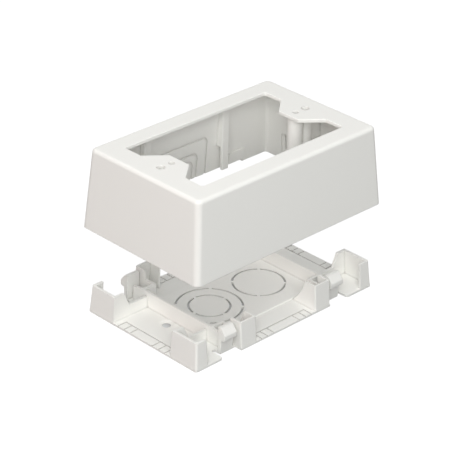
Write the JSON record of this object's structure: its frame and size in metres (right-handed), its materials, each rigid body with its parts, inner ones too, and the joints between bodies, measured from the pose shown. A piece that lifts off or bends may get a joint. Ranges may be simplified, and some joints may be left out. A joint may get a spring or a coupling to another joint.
{
  "type": "surface outlet box",
  "caption": "Surface outlet box: drafted moulded cover with a device opening, lifted off a snap-in base with knockouts and raceway entries.",
  "frame": {"origin": "middle of the base's underside, which lies on the wall or floor", "axes": "+X along the long side, +Y along the short side, +Z out of the wall, towards the cover's front"},
  "size_m": [0.126, 0.0816, 0.09],
  "materials": {
    "cover_plastic": "fine satin",
    "base_plastic": "fine satin"
  },
  "bodies": {
    "base": {"base": "base_plastic"},
    "cover": {"cover": "cover_plastic"}
  },
  "joints": [
    {"name": "cover_lift", "type": "slide", "parent": "base", "child": "cover", "axis": [0, 0, 1], "range_m": [-0.0478, 0]}
  ]
}
